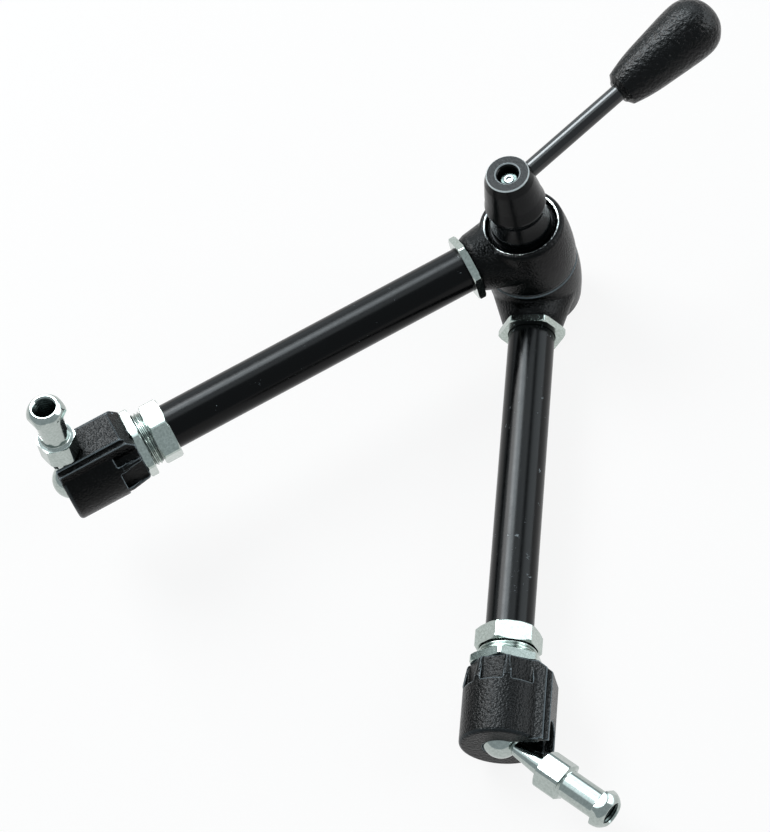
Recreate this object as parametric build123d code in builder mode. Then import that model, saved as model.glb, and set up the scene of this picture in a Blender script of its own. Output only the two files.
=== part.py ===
from build123d import *
from math import atan, cos, degrees, radians, sin, sqrt, tan
import os

os.makedirs("parts", exist_ok=True)

# Articulating friction arm: two tubes on a clamped elbow, with a ball joint and a hexagonal
# stud at each free end. One lever on the elbow locks all three joints.
# Frame: millimetres, +Z along the elbow axis towards the lever, arm A along -Y from the elbow,
# origin at the middle of stud A's waist, which is where a clamp grips the arm.

# Rest position, in degrees
arm_spread = 58.25          # angle between the two tubes, seen along the elbow axis
stud_a_tilt = 55.0          # stud A from the line of tube A, towards +X
stud_b_tilt = 95.0          # stud B from the line of tube B, towards +Z
lever_heading = 42.0        # lever seen from above, from +X towards +Y
lever_rise = 8.0            # lever above the plane square to the elbow axis

# Clearances
thread_gap = 0.03           # between the plain cylinders that stand for mating threads
slide_gap = 0.05            # radial, ball joints and sliding pieces
bore_gap = 0.3              # radial, pieces that only pass through
face_gap = 0.1              # between faces that press together when locked

# Studs: hexagon bar with turned corners, a round waist and a threaded tip
stud_flats = 15.8
stud_corners = 17.4
collar_length = 12.4
waist_length = 17.1
waist_dia = 12.6
head_length = 6.4
stud_bevel = 1.1
waist_blend = 0.8
tip_thread_dia = 9.52
tip_thread_depth = 12.0
tip_countersink = 0.7

# Ball stems
ball_dia = 17.2
neck_length = 14.7          # from the ball's surface to the stud's collar
neck_root_dia = 6.4
neck_end_dia = 9.6
stem_thread_dia = 8.0
stem_thread_length = 9.0

# Ball housings
housing_dia = 35.8
housing_length = 36.4
housing_end_round = 1.8
housing_nose_dia = 31.6     # across the rib crests at the locknut end
nose_length = 11.5
nose_taper = 9.2            # length over which the rib crests rise to the full diameter
ball_inset = 4.6            # ball centre behind the open face
lip_dia = 15.2
lip_flare = 0.3
cavity_lead = 1.0           # taper from the seat bore into the ball cavity
slot_width = 12.4
rib_count = 8
rib_width = 2.3
rib_turn = -12.0            # first rib from the middle of the pad, in degrees
pocket_floor = 15.0         # flat pocket floors from the housing's axis
pad_height = 21.6           # from the housing's axis
pad_width = 16.0
pad_ramp = 4.8              # length of the sloping end of the pad
pad_edge = 0.6
plinth_height = 19.4
plinth_width = 20.0
plinth_ramp = 3.4
relief_dia = 21.4           # round recess in the pad that clears the stud's collar
relief_sink = 0.7

# Ball seats
seat_travel = 2.5           # room behind the seat when locked
seat_rim_angle = 52.0       # half angle of the cup, from the housing's axis
seat_bore_gap = 0.35        # radial, seat bore over the ball

# Tubes and their end fittings
tube_dia = 21.0
tube_wall = 2.0
tube_reach = 180.4          # far end of each tube from the elbow axis
tube_root = 18.0            # near end, inside the elbow boss
adapter_flats = 26.0
adapter_corners = 29.4
adapter_a_turn = -19.0       # hexagon corner from the pad's direction, as it was screwed home
adapter_b_turn = -22.0
adapter_hex_length = 8.6
adapter_bevel = 1.3
adapter_spigot = 15.0
neck_thread_dia = 25.6
neck_gap = 4.8              # thread left bare between adapter and locknut
neck_thread_depth = 11.0    # thread inside the housing
thread_runout = 1.0         # past the end of a blind thread
housing_nut_flats = 29.4
housing_nut_corners = 33.2
housing_nut_length = 3.8
housing_nut_a_turn = 32.0
housing_nut_b_turn = -20.0
elbow_nut_flats = 26.8
elbow_nut_corners = 30.6
elbow_nut_length = 3.5
nut_bevel = 0.8

# Elbow castings
arm_offset = 17.2           # each tube's axis from the seam
seam_radius = 21.2
belly_radius = 21.1
belly_drop = 4.0            # fullest point below the tube's axis
crown_radius = 19.4
crown_height = 28.6
crown_round = 2.4
foot_belly_radius = 21.3
foot_belly_rise = 3.0       # the same point above the lower tube's axis
foot_radius = 19.5
foot_depth = 30.5
foot_round = 3.0
boss_root = 8.0             # start of the boss flare from the elbow axis
boss_root_width = 39.0
boss_root_height = 26.4
boss_root_sink = 2.4        # root of the flare nearer the seam than the tube's axis
boss_rim_dia = 27.6
boss_rim = 24.8
boss_end_dia = 25.0
boss_end = 27.7
recess_dia = 32.0
recess_depth = 2.6
recess_edge = 0.4

# Friction disc and washers
disc_dia = 41.4
disc_thickness = 0.8
disc_bore_gap = 1.2
washer_dia = 28.0
washer_thickness = 1.0
spring_count = 2
spring_dia = 24.6
spring_thickness = 0.9
spring_dish = 0.3
cap_dia = 26.0
cap_slot_width = 2.0
cap_slot_depth = 1.0
cap_slot_length = 18.0

# Draw bolt with its two wedge cones
shank_dia = 10.0
land_dia = 18.0
cone_angle = 35.0           # half angle of each cone
land_length = 4.0
flange_dia = 23.0
flange_thickness = 2.0
spring_seat_depth = 23.0    # spring shoulder below the seam
guide_length = 3.5
hub_thread_dia = 8.0
end_thread_dia = 4.0
bolt_dimple_dia = 2.6
bolt_dimple_depth = 0.8
end_nut_flats = 7.0
end_nut_corners = 7.9
end_nut_length = 3.2
end_nut_lift = 1.2          # nut above the floor of the hub's counterbore
bolt_stand = 0.4            # bolt end beyond its nut
release_travel = 1.0        # the bolt's fall from locked to free

# Push rods
push_rod_dia = 8.0
push_rod_tip_gap = 1.2      # blunt tip to the shank when locked

# Lever hub, rod and knob
hub_height = 67.4
hub_top_radius = 9.75
hub_edge = 0.45
hub_bevel_radius = 11.0
hub_bevel_drop = 4.6
hub_drum_radius = 13.8
hub_waist_radius = 11.4
hub_waist_rise = 15.3       # lower edge of the waist from the hub's base
hub_drum_rise = 19.5        # lower edge of the drum from the hub's base
hub_drum_flare = 0.8
hub_waist_band = 1.6
hub_sweep_drop = 4.0        # point on the curve from the waist to the skirt
hub_sweep_bulge = 0.4
hub_skirt_radius = 14.6
hub_skirt_rise = 4.6
hub_counterbore_dia = 9.0
hub_counterbore_depth = 8.8
hub_mouth_bevel = 1.1
rod_drop = 9.8              # the lever's line crosses the elbow axis this far below the top
rod_dia = 7.8
rod_socket = 3.0            # depth of the socket that takes the full rod
rod_thread_dia = 6.0
rod_thread_start = 6.2
knob_start = 63.0
knob_length = 55.4
knob_collar_dia = 12.4
knob_shoulder_dia = 16.8
knob_shoulder = 2.2
knob_middle_dia = 23.8
knob_dia = 27.7
knob_widest = 41.5
knob_tail_dia = 19.9
knob_tail = 4.0
knob_collar_round = 0.8
knob_thread_length = 22.0

# Places worked out from the sizes above
up = Vector(0, 0, 1)
arm_a_way = Vector(0, -1, 0)
arm_b_way = Vector(-sin(radians(arm_spread)), -cos(radians(arm_spread)), 0)
stud_a_way = Vector(sin(radians(stud_a_tilt)), -cos(radians(stud_a_tilt)), 0)
stud_b_way = arm_b_way * cos(radians(stud_b_tilt)) + up * sin(radians(stud_b_tilt))
ball_radius = ball_dia / 2
collar_start = ball_radius + neck_length
collar_end = collar_start + collar_length
head_start = collar_end + waist_length
stud_tip = head_start + head_length
hex_start = tube_reach
hex_end = hex_start + adapter_hex_length
nut_start = hex_end + neck_gap
housing_start = nut_start + housing_nut_length
housing_face = housing_start + housing_length
ball_reach = housing_face - ball_inset
ball_a = stud_a_way * -(collar_end + waist_length / 2)
elbow = ball_a - arm_a_way * ball_reach + up * arm_offset
ball_b = elbow + arm_b_way * ball_reach + up * arm_offset
seat_bore = ball_radius + seat_bore_gap
thread_end = housing_start + neck_thread_depth + thread_runout
seat_back = thread_end + seat_travel
cone_half = (land_dia - shank_dia) / 4 / tan(radians(cone_angle))
wedge_radius = (land_dia + shank_dia) / 4
recess_floor = crown_height - recess_depth
hub_base = recess_floor + washer_thickness + face_gap
waist_height = hub_base + hub_waist_rise
seam = disc_thickness / 2
spring_stack = spring_count * (spring_thickness + spring_dish)
flange_top = -spring_seat_depth - spring_stack - face_gap
cap_thickness = foot_depth + flange_top - flange_thickness - release_travel - face_gap
counterbore_floor = hub_height - hub_counterbore_depth
end_nut_base = counterbore_floor + end_nut_lift
bolt_end = end_nut_base + end_nut_length + bolt_stand
main_bore = land_dia / 2 + bore_gap
boss_taper = degrees(atan((boss_rim_dia - boss_end_dia) / 2 / (boss_end - boss_rim)))
rod_shoulder = hub_bevel_radius - rod_socket
knob_socket_end = knob_start + knob_thread_length
knob_end = knob_start + knob_length
corner = 1 - sin(radians(45))     # inset of a quarter round's middle, for a unit radius

# Working planes: local X runs out along the arm or the stud, local Z is the pad's direction
arm_a = Plane(origin=elbow - up * arm_offset, x_dir=arm_a_way, z_dir=Vector(1, 0, 0))
arm_b = Plane(origin=elbow + up * arm_offset, x_dir=arm_b_way, z_dir=up)
stud_a = Plane(origin=ball_a, x_dir=stud_a_way, z_dir=up)
stud_b = Plane(origin=ball_b, x_dir=stud_b_way, z_dir=up.cross(arm_b_way))
section = Plane(origin=elbow, x_dir=(1, 0, 0), z_dir=(0, -1, 0))
heading, rise = radians(lever_heading), radians(lever_rise)
lever = Plane(
    origin=elbow + up * (hub_height - rod_drop),
    x_dir=(cos(heading) * cos(rise), sin(heading) * cos(rise), sin(rise)),
    z_dir=(-cos(heading) * sin(rise), -sin(heading) * sin(rise), cos(rise)),
)


def across(plane, distance):
    """Plane square to the local X axis at a distance; its own X is the old plane's Z."""
    return Plane(origin=plane.origin + plane.x_dir * distance, x_dir=plane.z_dir, z_dir=plane.x_dir)


def level(height):
    """Plane square to the elbow axis at a height above the seam."""
    return Plane(origin=elbow + up * height)


def line_of(plane):
    return Axis(plane.origin, plane.x_dir)


def spin_line():
    return Axis(elbow, up)


def save(builder, name):
    builder.part.label = name
    export_step(builder.part, f"parts/{name}.step")


def hexagon_blank(plane, start, length, flats, corners, bevel, turn=0):
    """Hexagon bar with corners turned to a diameter and both faces bevelled at 30 degrees."""
    with BuildPart() as blank:
        with BuildSketch(across(plane, start)):
            RegularPolygon(radius=flats / 2, side_count=6, major_radius=False, rotation=turn)
        extrude(amount=length)
        edge = corners / 2 - bevel
        drop = bevel * tan(radians(30))
        with BuildSketch(plane):
            with BuildLine():
                Polyline(
                    (start, 0),
                    (start, edge),
                    (start + drop, corners / 2),
                    (start + length - drop, corners / 2),
                    (start + length, edge),
                    (start + length, 0),
                    close=True,
                )
            make_face()
        revolve(axis=line_of(plane), mode=Mode.INTERSECT)
    return blank.part


def make_stud(plane, name):
    """Hexagonal stud: collar, round waist that a clamp grips, and head with a threaded tip."""
    blank = hexagon_blank(plane, collar_start, stud_tip - collar_start, stud_flats, stud_corners, stud_bevel)
    with BuildPart() as stud:
        add(blank)
        with BuildSketch(plane):
            with BuildLine():
                Polyline(
                    (collar_end - waist_blend, stud_corners),
                    (collar_end - waist_blend, stud_flats / 2),
                    (collar_end, waist_dia / 2),
                    (head_start, waist_dia / 2),
                    (head_start + waist_blend, stud_flats / 2),
                    (head_start + waist_blend, stud_corners),
                    close=True,
                )
            make_face()
        revolve(axis=line_of(plane), mode=Mode.SUBTRACT)
        with BuildSketch(plane):
            with BuildLine():
                Polyline(
                    (stud_tip, 0),
                    (stud_tip, tip_thread_dia / 2 + tip_countersink),
                    (stud_tip - tip_countersink, tip_thread_dia / 2),
                    (stud_tip - tip_thread_depth, tip_thread_dia / 2),
                    (stud_tip - tip_thread_depth, 0),
                    close=True,
                )
            make_face()
        revolve(axis=line_of(plane), mode=Mode.SUBTRACT)
        with BuildSketch(across(plane, collar_start)):
            Circle(stem_thread_dia / 2 + slide_gap)
        extrude(amount=stem_thread_length + face_gap, mode=Mode.SUBTRACT)
    save(stud, name)


def make_stem(plane, name):
    """Ball with its tapered neck and the thread that holds the hexagonal stud."""
    root = sqrt(ball_radius**2 - (neck_root_dia / 2) ** 2)
    shoulder = collar_start - face_gap
    with BuildPart() as stem:
        with BuildSketch(plane):
            with BuildLine():
                RadiusArc((-ball_radius, 0), (root, neck_root_dia / 2), ball_radius)
                Polyline(
                    (root, neck_root_dia / 2),
                    (shoulder, neck_end_dia / 2),
                    (shoulder, stem_thread_dia / 2),
                    (collar_start + stem_thread_length, stem_thread_dia / 2),
                    (collar_start + stem_thread_length, 0),
                    (-ball_radius, 0),
                )
            make_face()
        revolve(axis=line_of(plane))
    save(stem, name)


def make_housing(plane, name):
    """Cast ball housing: ribbed nose, raised pad with a slot that lets the stud swing out."""
    side = Plane(origin=plane.origin, x_dir=plane.x_dir, z_dir=-plane.y_dir)
    radius = housing_dia / 2
    with BuildPart() as housing:
        with BuildSketch(plane):
            with BuildLine():
                Polyline(
                    (housing_face, 0),
                    (housing_start, 0),
                    (housing_start, housing_nose_dia / 2),
                    (housing_start + nose_taper, radius),
                    (housing_face - housing_end_round, radius),
                )
                ThreePointArc(
                    (housing_face - housing_end_round, radius),
                    (housing_face - housing_end_round * corner, radius - housing_end_round * corner),
                    (housing_face, radius - housing_end_round),
                )
                Line((housing_face, radius - housing_end_round), (housing_face, 0))
            make_face()
        revolve(axis=line_of(plane))
        # flat-floored pockets between the ribs
        pitch = 360 / rib_count
        pocket_width = 2 * radius * tan(radians(pitch / 2)) - rib_width / cos(radians(pitch / 2))
        with BuildSketch(across(plane, housing_start)):
            with PolarLocations(radius, rib_count, start_angle=rib_turn + pitch / 2):
                Rectangle(2 * (radius - pocket_floor), pocket_width - rib_width)
        extrude(amount=nose_length, mode=Mode.SUBTRACT)
        # raised pad on its plinth, with a sloping end towards the locknut
        for height, width, ramp in (
            (plinth_height, plinth_width, plinth_ramp),
            (pad_height, pad_width, pad_ramp),
        ):
            with BuildSketch(side):
                with BuildLine():
                    Polyline(
                        (housing_start, 0),
                        (housing_start, pocket_floor),
                        (housing_start + ramp, height),
                        (housing_face - pad_edge, height),
                        (housing_face, height - pad_edge),
                        (housing_face, 0),
                        close=True,
                    )
                make_face()
            extrude(amount=width / 2, both=True)
        # round recess that clears the collar of the stud
        with BuildSketch(Plane(origin=plane.origin + plane.z_dir * (radius - relief_sink),
                               x_dir=plane.x_dir, z_dir=plane.z_dir)):
            with Locations((ball_reach, 0)):
                Circle(relief_dia / 2)
            with Locations((ball_reach + ball_inset, 0)):
                Rectangle(2 * ball_inset, relief_dia)
        extrude(amount=pad_height, mode=Mode.SUBTRACT)
        # slot for the neck, from the ball's centre out through the open end
        with BuildSketch(plane):
            with Locations((ball_reach, 0)):
                Circle(slot_width / 2)
            with Locations((ball_reach + ball_inset, 0)):
                Rectangle(2 * ball_inset, slot_width)
        extrude(amount=2 * pad_height, mode=Mode.SUBTRACT)
        # bores: locknut thread, seat bore, ball cavity and retaining lip
        cavity = ball_radius + slide_gap
        lip_reach = ball_reach + sqrt(cavity**2 - (lip_dia / 2) ** 2)
        with BuildSketch(plane):
            with BuildLine():
                Polyline(
                    (housing_start, 0),
                    (housing_start, neck_thread_dia / 2 + thread_gap),
                    (thread_end, neck_thread_dia / 2 + thread_gap),
                    (thread_end, seat_bore),
                    (ball_reach - cavity_lead, seat_bore),
                    (ball_reach, cavity),
                )
                RadiusArc((ball_reach, cavity), (lip_reach, lip_dia / 2), cavity)
                Polyline(
                    (lip_reach, lip_dia / 2),
                    (housing_face - lip_flare, lip_dia / 2),
                    (housing_face, lip_dia / 2 + lip_flare),
                    (housing_face, 0),
                    (housing_start, 0),
                )
            make_face()
        revolve(axis=line_of(plane), mode=Mode.SUBTRACT)
    save(housing, name)


def make_seat(plane, name):
    """Cup that the push rod drives against the back of the ball."""
    outer = seat_bore - slide_gap
    cup = ball_radius + slide_gap
    rim = radians(seat_rim_angle)
    with BuildPart() as seat:
        with BuildSketch(plane):
            with BuildLine():
                RadiusArc(
                    (ball_reach - cup, 0),
                    (ball_reach - cup * cos(rim), cup * sin(rim)),
                    cup,
                )
                Polyline(
                    (ball_reach - cup * cos(rim), cup * sin(rim)),
                    (ball_reach - cup * cos(rim), outer),
                    (seat_back, outer),
                    (seat_back, 0),
                    (ball_reach - cup, 0),
                )
            make_face()
        revolve(axis=line_of(plane))
    save(seat, name)


def make_adapter(plane, turn, name):
    """Hexagon fitting: spigot inside the tube, thread into the housing, bore for the rod."""
    blank = hexagon_blank(plane, hex_start, adapter_hex_length, adapter_flats, adapter_corners,
                          adapter_bevel, turn)
    with BuildPart() as adapter:
        add(blank)
        with BuildSketch(across(plane, hex_start)):
            Circle(tube_dia / 2 - tube_wall - thread_gap)
        extrude(amount=-adapter_spigot)
        with BuildSketch(across(plane, hex_end)):
            Circle(neck_thread_dia / 2)
        extrude(amount=housing_start + neck_thread_depth - hex_end)
        far_edge = adapter.edges().filter_by(GeomType.CIRCLE).sort_by(line_of(plane))[-1]
        chamfer(far_edge, nut_bevel)
        with BuildSketch(across(plane, hex_start - adapter_spigot)):
            Circle(push_rod_dia / 2 + bore_gap)
        extrude(amount=housing_face, mode=Mode.SUBTRACT)
    save(adapter, name)


def make_nut(plane, start, length, flats, corners, bore, name, turn=0):
    """Thin hexagon locknut."""
    blank = hexagon_blank(plane, start, length, flats, corners, nut_bevel, turn)
    with BuildPart() as nut:
        add(blank)
        with BuildSketch(across(plane, start)):
            Circle(bore / 2)
        extrude(amount=length, mode=Mode.SUBTRACT)
    save(nut, name)


def make_tube(plane, name):
    with BuildPart() as tube:
        with BuildSketch(across(plane, tube_root)):
            Circle(tube_dia / 2)
            Circle(tube_dia / 2 - tube_wall, mode=Mode.SUBTRACT)
        extrude(amount=tube_reach - tube_root)
    save(tube, name)


def make_push_rod(plane, name):
    """Rod whose inner end is bevelled to ride on the draw bolt's cone."""
    start = shank_dia / 2 + push_rod_tip_gap
    slope = tan(radians(cone_angle))
    touch = wedge_radius + face_gap / cos(radians(cone_angle))
    bevel_plane = Plane(origin=plane.origin, x_dir=plane.x_dir, z_dir=plane.x_dir.cross(up))
    with BuildPart() as push_rod:
        with BuildSketch(across(plane, start)):
            Circle(push_rod_dia / 2)
        extrude(amount=seat_back - face_gap - start)
        # the bevel matches the cone, which widens away from the lever
        with BuildSketch(bevel_plane):
            with BuildLine():
                Polyline(
                    (touch - push_rod_dia * slope, push_rod_dia),
                    (touch + push_rod_dia * slope, -push_rod_dia),
                    (0, -push_rod_dia),
                    (0, push_rod_dia),
                    close=True,
                )
            make_face()
        extrude(amount=push_rod_dia, both=True, mode=Mode.SUBTRACT)
    save(push_rod, name)


for side, plane, stud_plane, adapter_turn, nut_turn in (
    ("a", arm_a, stud_a, adapter_a_turn, housing_nut_a_turn),
    ("b", arm_b, stud_b, adapter_b_turn, housing_nut_b_turn),
):
    make_stud(stud_plane, f"hex_stud_{side}")
    make_stem(stud_plane, f"ball_stem_{side}")
    make_seat(plane, f"ball_seat_{side}")
    make_housing(plane, f"socket_housing_{side}")
    make_adapter(plane, adapter_turn, f"tube_adapter_{side}")
    make_nut(plane, nut_start, housing_nut_length, housing_nut_flats, housing_nut_corners,
             neck_thread_dia + 2 * thread_gap, f"housing_locknut_{side}", nut_turn)
    make_tube(plane, f"tube_{side}")
    make_nut(plane, boss_end, elbow_nut_length, elbow_nut_flats, elbow_nut_corners,
             tube_dia + 2 * thread_gap, f"elbow_locknut_{side}")
    make_push_rod(plane, f"push_rod_{side}")


def make_boss(way, height, root_height):
    """Flare from the barrel of an elbow casting out to the rim that takes the tube."""
    lateral = up.cross(way)
    with BuildPart() as flare:
        with BuildSketch(Plane(origin=elbow + way * boss_root + up * root_height,
                               x_dir=lateral, z_dir=way)) as root:
            Ellipse(boss_root_width / 2, boss_root_height / 2)
        rim_plane = Plane(origin=elbow + way * boss_rim + up * height, x_dir=lateral, z_dir=way)
        with BuildSketch(rim_plane) as rim:
            Circle(boss_rim_dia / 2)
        loft(sections=[root.sketch.face(), rim.sketch.face()])
        with BuildSketch(rim_plane) as collar:
            Circle(boss_rim_dia / 2)
        extrude(collar.sketch, amount=boss_end - boss_rim, taper=boss_taper)
    return flare.part


def make_tube_socket(way, height):
    """What a casting loses to the tube's thread and to the push rod's guide hole."""
    axis_start = elbow + up * height
    with BuildPart() as socket:
        with BuildSketch(Plane(origin=axis_start + way * tube_root, x_dir=up, z_dir=way)):
            Circle(tube_dia / 2 + thread_gap)
        extrude(amount=boss_end)
        with BuildSketch(Plane(origin=axis_start, x_dir=up, z_dir=way)):
            Circle(push_rod_dia / 2 + slide_gap)
        extrude(amount=tube_root)
    return socket.part


upper_boss = make_boss(arm_b_way, arm_offset, arm_offset - boss_root_sink)
upper_socket = make_tube_socket(arm_b_way, arm_offset)
lower_boss = make_boss(arm_a_way, -arm_offset, boss_root_sink - arm_offset)
lower_socket = make_tube_socket(arm_a_way, -arm_offset)

with BuildPart() as elbow_upper_half:
    with BuildSketch(section):
        with BuildLine():
            Line((0, seam), (seam_radius, seam))
            ThreePointArc(
                (seam_radius, seam),
                (belly_radius, arm_offset - belly_drop),
                (crown_radius, crown_height - crown_round),
            )
            ThreePointArc(
                (crown_radius, crown_height - crown_round),
                (crown_radius - crown_round * corner, crown_height - crown_round * corner),
                (crown_radius - crown_round, crown_height),
            )
            Polyline((crown_radius - crown_round, crown_height), (0, crown_height), (0, seam))
        make_face()
    revolve(axis=spin_line())
    add(upper_boss)
    with BuildSketch(level(seam)):
        Circle(main_bore)
    extrude(amount=recess_floor - guide_length - seam, mode=Mode.SUBTRACT)
    with BuildSketch(level(seam)):
        Circle(shank_dia / 2 + slide_gap)
    extrude(amount=crown_height, mode=Mode.SUBTRACT)
    with BuildSketch(section):
        with BuildLine():
            Polyline(
                (0, recess_floor),
                (recess_dia / 2, recess_floor),
                (recess_dia / 2, crown_height - recess_edge),
                (recess_dia / 2 + recess_edge, crown_height),
                (recess_dia / 2 + recess_edge, hub_height),
                (0, hub_height),
                close=True,
            )
        make_face()
    revolve(axis=spin_line(), mode=Mode.SUBTRACT)
    add(upper_socket, mode=Mode.SUBTRACT)
save(elbow_upper_half, "elbow_upper_half")

with BuildPart() as elbow_lower_half:
    with BuildSketch(section):
        with BuildLine():
            Line((0, -seam), (seam_radius, -seam))
            ThreePointArc(
                (seam_radius, -seam),
                (foot_belly_radius, foot_belly_rise - arm_offset),
                (foot_radius, foot_round - foot_depth),
            )
            ThreePointArc(
                (foot_radius, foot_round - foot_depth),
                (foot_radius - foot_round * corner, foot_round * corner - foot_depth),
                (foot_radius - foot_round, -foot_depth),
            )
            Polyline((foot_radius - foot_round, -foot_depth), (0, -foot_depth), (0, -seam))
        make_face()
    revolve(axis=spin_line())
    add(lower_boss)
    with BuildSketch(level(-seam)):
        Circle(main_bore)
    extrude(amount=-foot_depth, mode=Mode.SUBTRACT)
    with BuildSketch(level(-spring_seat_depth)):
        Circle(cap_dia / 2 + thread_gap)
    extrude(amount=-foot_depth, mode=Mode.SUBTRACT)
    add(lower_socket, mode=Mode.SUBTRACT)
save(elbow_lower_half, "elbow_lower_half")

with BuildPart() as friction_disc:
    with BuildSketch(level(-seam)):
        Circle(disc_dia / 2)
        Circle(main_bore + disc_bore_gap, mode=Mode.SUBTRACT)
    extrude(amount=disc_thickness)
save(friction_disc, "friction_disc")

with BuildPart() as thrust_washer:
    with BuildSketch(level(recess_floor)):
        Circle(washer_dia / 2)
        Circle(shank_dia / 2 + bore_gap, mode=Mode.SUBTRACT)
    extrude(amount=washer_thickness)
save(thrust_washer, "thrust_washer")

# Disc springs between the shoulder in the lower casting and the flange of the draw bolt
spring_pitch = spring_thickness + spring_dish
with BuildPart() as disc_springs:
    for index in range(spring_count):
        top = -spring_seat_depth - index * spring_pitch
        outer_drop, inner_drop = (spring_dish, 0) if index % 2 else (0, spring_dish)
        with BuildSketch(section):
            with BuildLine():
                Polyline(
                    (main_bore, top - inner_drop),
                    (spring_dia / 2, top - outer_drop),
                    (spring_dia / 2, top - outer_drop - spring_thickness),
                    (main_bore, top - inner_drop - spring_thickness),
                    close=True,
                )
            make_face()
        revolve(axis=spin_line())
save(disc_springs, "disc_springs")

with BuildPart() as base_cap:
    with BuildSketch(level(-foot_depth)):
        Circle(cap_dia / 2)
    extrude(amount=cap_thickness)
    with BuildSketch(level(-foot_depth)):
        Rectangle(cap_slot_length, cap_slot_width)
    extrude(amount=cap_slot_depth, mode=Mode.SUBTRACT)
save(base_cap, "base_cap")

# Draw bolt: flange, two cones that spread the push rods, shank, hub thread and end thread
with BuildPart() as draw_bolt:
    with BuildSketch(section):
        with BuildLine():
            Polyline(
                (0, flange_top - flange_thickness),
                (flange_dia / 2, flange_top - flange_thickness),
                (flange_dia / 2, flange_top),
                (land_dia / 2, flange_top),
                (land_dia / 2, -arm_offset - cone_half),
                (shank_dia / 2, -arm_offset + cone_half),
                (shank_dia / 2, arm_offset - cone_half - land_length),
                (land_dia / 2, arm_offset - cone_half - land_length),
                (land_dia / 2, arm_offset - cone_half),
                (shank_dia / 2, arm_offset + cone_half),
                (shank_dia / 2, recess_floor),
                (hub_thread_dia / 2, recess_floor),
                (hub_thread_dia / 2, counterbore_floor),
                (end_thread_dia / 2, counterbore_floor),
                (end_thread_dia / 2, bolt_end),
                (0, bolt_end),
                close=True,
            )
        make_face()
    revolve(axis=spin_line())
    with BuildSketch(level(bolt_end)):
        Circle(bolt_dimple_dia / 2)
    extrude(amount=-bolt_dimple_depth, mode=Mode.SUBTRACT)
save(draw_bolt, "draw_bolt")

make_nut(Plane(origin=elbow, x_dir=up, z_dir=(1, 0, 0)), end_nut_base, end_nut_length, end_nut_flats,
         end_nut_corners, end_thread_dia + 2 * thread_gap, "bolt_end_nut")

# Lever hub: turned drum with a waist, its skirt sits in the recess of the upper casting
with BuildPart() as lever_hub:
    with BuildSketch(section):
        with BuildLine():
            Polyline(
                (hub_thread_dia / 2 + slide_gap, hub_base),
                (hub_skirt_radius, hub_base),
                (hub_skirt_radius, hub_base + hub_skirt_rise),
            )
            ThreePointArc(
                (hub_skirt_radius, hub_base + hub_skirt_rise),
                (hub_waist_radius + hub_sweep_bulge, waist_height - hub_sweep_drop),
                (hub_waist_radius, waist_height),
            )
            Polyline(
                (hub_waist_radius, waist_height),
                (hub_waist_radius, waist_height + hub_waist_band),
                (hub_drum_radius, hub_base + hub_drum_rise - hub_drum_flare),
                (hub_drum_radius, hub_base + hub_drum_rise),
                (hub_bevel_radius, hub_height - hub_bevel_drop),
                (hub_top_radius, hub_height - hub_edge),
                (hub_top_radius - hub_edge, hub_height),
                (hub_counterbore_dia / 2 + hub_mouth_bevel, hub_height),
                (hub_counterbore_dia / 2, hub_height - hub_mouth_bevel),
                (hub_counterbore_dia / 2, counterbore_floor),
                (hub_thread_dia / 2 + slide_gap, counterbore_floor),
                (hub_thread_dia / 2 + slide_gap, hub_base),
            )
        make_face()
    revolve(axis=spin_line())
    with BuildSketch(across(lever, hub_bevel_radius - rod_socket)):
        Circle(rod_dia / 2 + thread_gap)
    extrude(amount=hub_drum_radius, mode=Mode.SUBTRACT)
    with BuildSketch(across(lever, rod_thread_start)):
        Circle(rod_thread_dia / 2 + thread_gap)
    extrude(amount=hub_drum_radius, mode=Mode.SUBTRACT)
save(lever_hub, "lever_hub")

with BuildPart() as lever_rod:
    with BuildSketch(lever):
        with BuildLine():
            Polyline(
                (rod_thread_start, 0),
                (rod_thread_start, rod_thread_dia / 2),
                (rod_shoulder, rod_thread_dia / 2),
                (rod_shoulder, rod_dia / 2),
                (knob_start, rod_dia / 2),
                (knob_start, rod_thread_dia / 2),
                (knob_socket_end, rod_thread_dia / 2),
                (knob_socket_end, 0),
                close=True,
            )
        make_face()
    revolve(axis=line_of(lever))
save(lever_rod, "lever_rod")

# Pear-shaped moulded knob, screwed onto the rod
with BuildPart() as lever_knob:
    with BuildSketch(lever):
        with BuildLine():
            Polyline(
                (knob_socket_end + thread_runout, 0),
                (knob_socket_end + thread_runout, rod_thread_dia / 2 + thread_gap),
                (knob_start, rod_thread_dia / 2 + thread_gap),
                (knob_start, knob_collar_dia / 2 - knob_collar_round),
                (knob_start + knob_collar_round, knob_collar_dia / 2),
                (knob_start + knob_shoulder, knob_shoulder_dia / 2),
            )
            Spline(
                (knob_start + knob_shoulder, knob_shoulder_dia / 2),
                (knob_start + knob_widest / 2, knob_middle_dia / 2),
                (knob_start + knob_widest, knob_dia / 2),
                (knob_end - knob_tail, knob_tail_dia / 2),
                (knob_end, 0),
                tangents=((1, 0.55), (0, -1)),
            )
            Line((knob_end, 0), (knob_socket_end + thread_runout, 0))
        make_face()
    revolve(axis=line_of(lever))
save(lever_knob, "lever_knob")
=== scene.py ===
from math import acos, cos, degrees, floor, radians, sin, tan

import bmesh
import bpy
from mathutils import Matrix, Vector


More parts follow.
